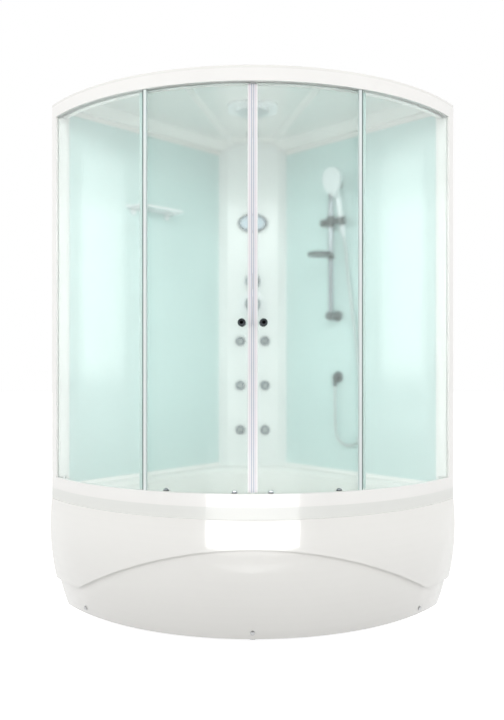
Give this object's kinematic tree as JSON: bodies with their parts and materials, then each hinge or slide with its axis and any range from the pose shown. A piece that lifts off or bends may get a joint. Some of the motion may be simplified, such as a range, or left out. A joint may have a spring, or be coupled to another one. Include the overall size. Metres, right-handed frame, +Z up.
{
  "type": "hydromassage shower cabin",
  "caption": "Quarter-round shower cabin with a deep bathing tray, curved sliding glass doors, a jet column, an overhead shower and a hand shower on a bar.",
  "frame": {"origin": "on the floor, at the middle of the cabin's width and depth", "axes": "+Z up, +Y towards the back corner, -Y out of the curved front, +X to the right seen from the front"},
  "size_m": [1.7066, 1.2511, 2.1972],
  "materials": {
    "acrylic": "glossy white sanitary acrylic",
    "white_profile": "white powder coat on aluminium, satin",
    "mint_panel": "pale mint back-lacquered wall panel, glossy",
    "column_moulding": "white moulding, glossy",
    "curved_glass": "satin privacy glass, blurs what is behind it",
    "seal": "translucent soft seal with a pale magnet strip",
    "frame_steel": "zinc coated tube",
    "bare_steel": "zinc plated",
    "chrome_metal": "polished chrome",
    "cast_brass": "cast brass",
    "wheel_plastic": "white acetal",
    "grey_plastic": "grey metallic coating",
    "white_plastic": "glossy white",
    "spray_plate": "grey plate with soft nozzles",
    "display_panel": "pale blue cover",
    "lamp_plastic": "lens in a grey bezel",
    "hose_sleeve": "smooth grey sleeve",
    "pipe_plastic": "flexible feed pipe"
  },
  "bodies": {
    "cabin": {"tray": "acrylic", "apron": "acrylic", "base_frame": "frame_steel", "levelling_feet": "bare_steel", "apron_screws": "bare_steel", "drain_body": "chrome_metal", "top_rail": "white_profile", "bottom_rail": "white_profile", "edge_profiles": "white_profile", "wall_panels": "mint_panel", "corner_column": "column_moulding", "fixed_glass": "curved_glass", "fixed_glass_seals": "seal", "roof": "acrylic", "overhead_shower": "white_plastic", "overhead_nozzle_plate": "spray_plate", "ceiling_light": "lamp_plastic", "oval_ring": "chrome_metal", "oval_face": "display_panel", "control_plates": "white_plastic", "mixer_valve": "cast_brass", "jet_bodies": "chrome_metal", "wall_shelf": "white_plastic", "wall_brackets": "grey_plastic", "shower_bar": "chrome_metal", "wall_outlet": "grey_plastic", "shower_hose": "hose_sleeve", "supply_pipes": "pipe_plastic"},
    "left_door": {"left_door_glass": "curved_glass", "left_door_seals": "seal", "left_door_knob": "chrome_metal", "left_roller_carriers": "chrome_metal"},
    "right_door": {"right_door_glass": "curved_glass", "right_door_seals": "seal", "right_door_knob": "chrome_metal", "right_roller_carriers": "chrome_metal"},
    "left_upper_lead_roller": {"left_upper_lead_roller": "wheel_plastic"},
    "left_upper_trail_roller": {"left_upper_trail_roller": "wheel_plastic"},
    "left_lower_lead_roller": {"left_lower_lead_roller": "wheel_plastic"},
    "left_lower_trail_roller": {"left_lower_trail_roller": "wheel_plastic"},
    "right_upper_lead_roller": {"right_upper_lead_roller": "wheel_plastic"},
    "right_upper_trail_roller": {"right_upper_trail_roller": "wheel_plastic"},
    "right_lower_lead_roller": {"right_lower_lead_roller": "wheel_plastic"},
    "right_lower_trail_roller": {"right_lower_trail_roller": "wheel_plastic"},
    "drain_plug": {"drain_plug": "chrome_metal"},
    "diverter_knob": {"diverter_knob": "chrome_metal"},
    "mixer_cap": {"mixer_cap": "chrome_metal"},
    "mixer_lever": {"mixer_lever": "chrome_metal"},
    "left_low_jet": {"left_low_jet": "spray_plate"},
    "left_mid_jet": {"left_mid_jet": "spray_plate"},
    "left_high_jet": {"left_high_jet": "spray_plate"},
    "right_low_jet": {"right_low_jet": "spray_plate"},
    "right_mid_jet": {"right_mid_jet": "spray_plate"},
    "right_high_jet": {"right_high_jet": "spray_plate"},
    "bar_slider": {"bar_slider": "grey_plastic"},
    "slider_knob": {"slider_knob": "grey_plastic"},
    "hand_shower": {"handset_holder": "grey_plastic", "handset": "white_plastic", "handset_faceplate": "spray_plate"},
    "soap_dish": {"soap_dish": "grey_plastic"}
  },
  "joints": [
    {"name": "left_door_slide", "type": "hinge", "parent": "cabin", "child": "left_door", "pos_m": [0, 0.45044, 0.566], "axis": [0, 0, 1], "range_deg": [-19, 0]},
    {"name": "right_door_slide", "type": "hinge", "parent": "cabin", "child": "right_door", "pos_m": [0, 0.45044, 0.566], "axis": [0, 0, 1], "range_deg": [0, 19]},
    {"name": "left_upper_lead_roller_spin", "type": "hinge", "parent": "left_door", "child": "left_upper_lead_roller", "pos_m": [-0.06618, -0.57292, 2.0933], "axis": [-0.0645, -0.9979, 0], "continuous": true},
    {"name": "left_upper_trail_roller_spin", "type": "hinge", "parent": "left_door", "child": "left_upper_trail_roller", "pos_m": [-0.3203, -0.52376, 2.0933], "axis": [-0.3123, -0.95, 0], "continuous": true},
    {"name": "left_lower_lead_roller_spin", "type": "hinge", "parent": "left_door", "child": "left_lower_lead_roller", "pos_m": [-0.06618, -0.57292, 0.5643], "axis": [-0.0645, -0.9979, 0], "continuous": true},
    {"name": "left_lower_trail_roller_spin", "type": "hinge", "parent": "left_door", "child": "left_lower_trail_roller", "pos_m": [-0.3203, -0.52376, 0.5643], "axis": [-0.3123, -0.95, 0], "continuous": true},
    {"name": "right_upper_lead_roller_spin", "type": "hinge", "parent": "right_door", "child": "right_upper_lead_roller", "pos_m": [0.06618, -0.57292, 2.0933], "axis": [0.0645, -0.9979, 0], "continuous": true},
    {"name": "right_upper_trail_roller_spin", "type": "hinge", "parent": "right_door", "child": "right_upper_trail_roller", "pos_m": [0.3203, -0.52376, 2.0933], "axis": [0.3123, -0.95, 0], "continuous": true},
    {"name": "right_lower_lead_roller_spin", "type": "hinge", "parent": "right_door", "child": "right_lower_lead_roller", "pos_m": [0.06618, -0.57292, 0.5643], "axis": [0.0645, -0.9979, 0], "continuous": true},
    {"name": "right_lower_trail_roller_spin", "type": "hinge", "parent": "right_door", "child": "right_lower_trail_roller", "pos_m": [0.3203, -0.52376, 0.5643], "axis": [0.3123, -0.95, 0], "continuous": true},
    {"name": "plug_lift", "type": "slide", "parent": "cabin", "child": "drain_plug", "axis": [0, 0, 1], "range_m": [0, 0.012]},
    {"name": "diverter_turn", "type": "hinge", "parent": "cabin", "child": "diverter_knob", "pos_m": [0, 0.41341, 1.455], "axis": [0, -1, 0], "continuous": true},
    {"name": "mixer_swivel", "type": "hinge", "parent": "cabin", "child": "mixer_cap", "pos_m": [0, 0.41441, 1.338], "axis": [0, -1, 0], "range_deg": [-45, 45]},
    {"name": "lever_lift", "type": "hinge", "parent": "mixer_cap", "child": "mixer_lever", "pos_m": [0, 0.39141, 1.338], "axis": [-1, 0, 0], "range_deg": [0, 22]},
    {"name": "left_low_jet_tilt", "type": "hinge", "parent": "cabin", "child": "left_low_jet", "pos_m": [-0.063, 0.43141, 0.7], "axis": [1, 0, 0], "range_deg": [-15, 15]},
    {"name": "left_mid_jet_tilt", "type": "hinge", "parent": "cabin", "child": "left_mid_jet", "pos_m": [-0.063, 0.43141, 0.926], "axis": [1, 0, 0], "range_deg": [-15, 15]},
    {"name": "left_high_jet_tilt", "type": "hinge", "parent": "cabin", "child": "left_high_jet", "pos_m": [-0.063, 0.43141, 1.152], "axis": [1, 0, 0], "range_deg": [-15, 15]},
    {"name": "right_low_jet_tilt", "type": "hinge", "parent": "cabin", "child": "right_low_jet", "pos_m": [0.063, 0.43141, 0.7], "axis": [1, 0, 0], "range_deg": [-15, 15]},
    {"name": "right_mid_jet_tilt", "type": "hinge", "parent": "cabin", "child": "right_mid_jet", "pos_m": [0.063, 0.43141, 0.926], "axis": [1, 0, 0], "range_deg": [-15, 15]},
    {"name": "right_high_jet_tilt", "type": "hinge", "parent": "cabin", "child": "right_high_jet", "pos_m": [0.063, 0.43141, 1.152], "axis": [1, 0, 0], "range_deg": [-15, 15]},
    {"name": "slider_height", "type": "slide", "parent": "cabin", "child": "bar_slider", "axis": [0, 0, 1], "range_m": [-0.08, 0.13], "deforming": ["shower_hose"]},
    {"name": "slider_knob_turn", "type": "hinge", "parent": "bar_slider", "child": "slider_knob", "pos_m": [0.35355, 0.18655, 1.71], "axis": [-0.7071, 0.7071, 0], "range_deg": [0, 90]},
    {"name": "hand_shower_tilt", "type": "hinge", "parent": "bar_slider", "child": "hand_shower", "pos_m": [0.41507, 0.12503, 1.71], "axis": [0.7071, -0.7071, 0], "range_deg": [-8, 16], "deforming": ["shower_hose"]},
    {"name": "soap_dish_height", "type": "slide", "parent": "cabin", "child": "soap_dish", "axis": [0, 0, 1], "range_m": [-0.22, 0.03]}
  ],
  "couplings": [
    {"joint": "left_upper_lead_roller_spin", "follows": "left_door_slide", "ratio": -113.94},
    {"joint": "left_upper_trail_roller_spin", "follows": "left_door_slide", "ratio": -113.94},
    {"joint": "left_lower_lead_roller_spin", "follows": "left_door_slide", "ratio": -113.94},
    {"joint": "left_lower_trail_roller_spin", "follows": "left_door_slide", "ratio": -113.94},
    {"joint": "right_upper_lead_roller_spin", "follows": "right_door_slide", "ratio": -113.94},
    {"joint": "right_upper_trail_roller_spin", "follows": "right_door_slide", "ratio": -113.94},
    {"joint": "right_lower_lead_roller_spin", "follows": "right_door_slide", "ratio": -113.94},
    {"joint": "right_lower_trail_roller_spin", "follows": "right_door_slide", "ratio": -113.94}
  ]
}
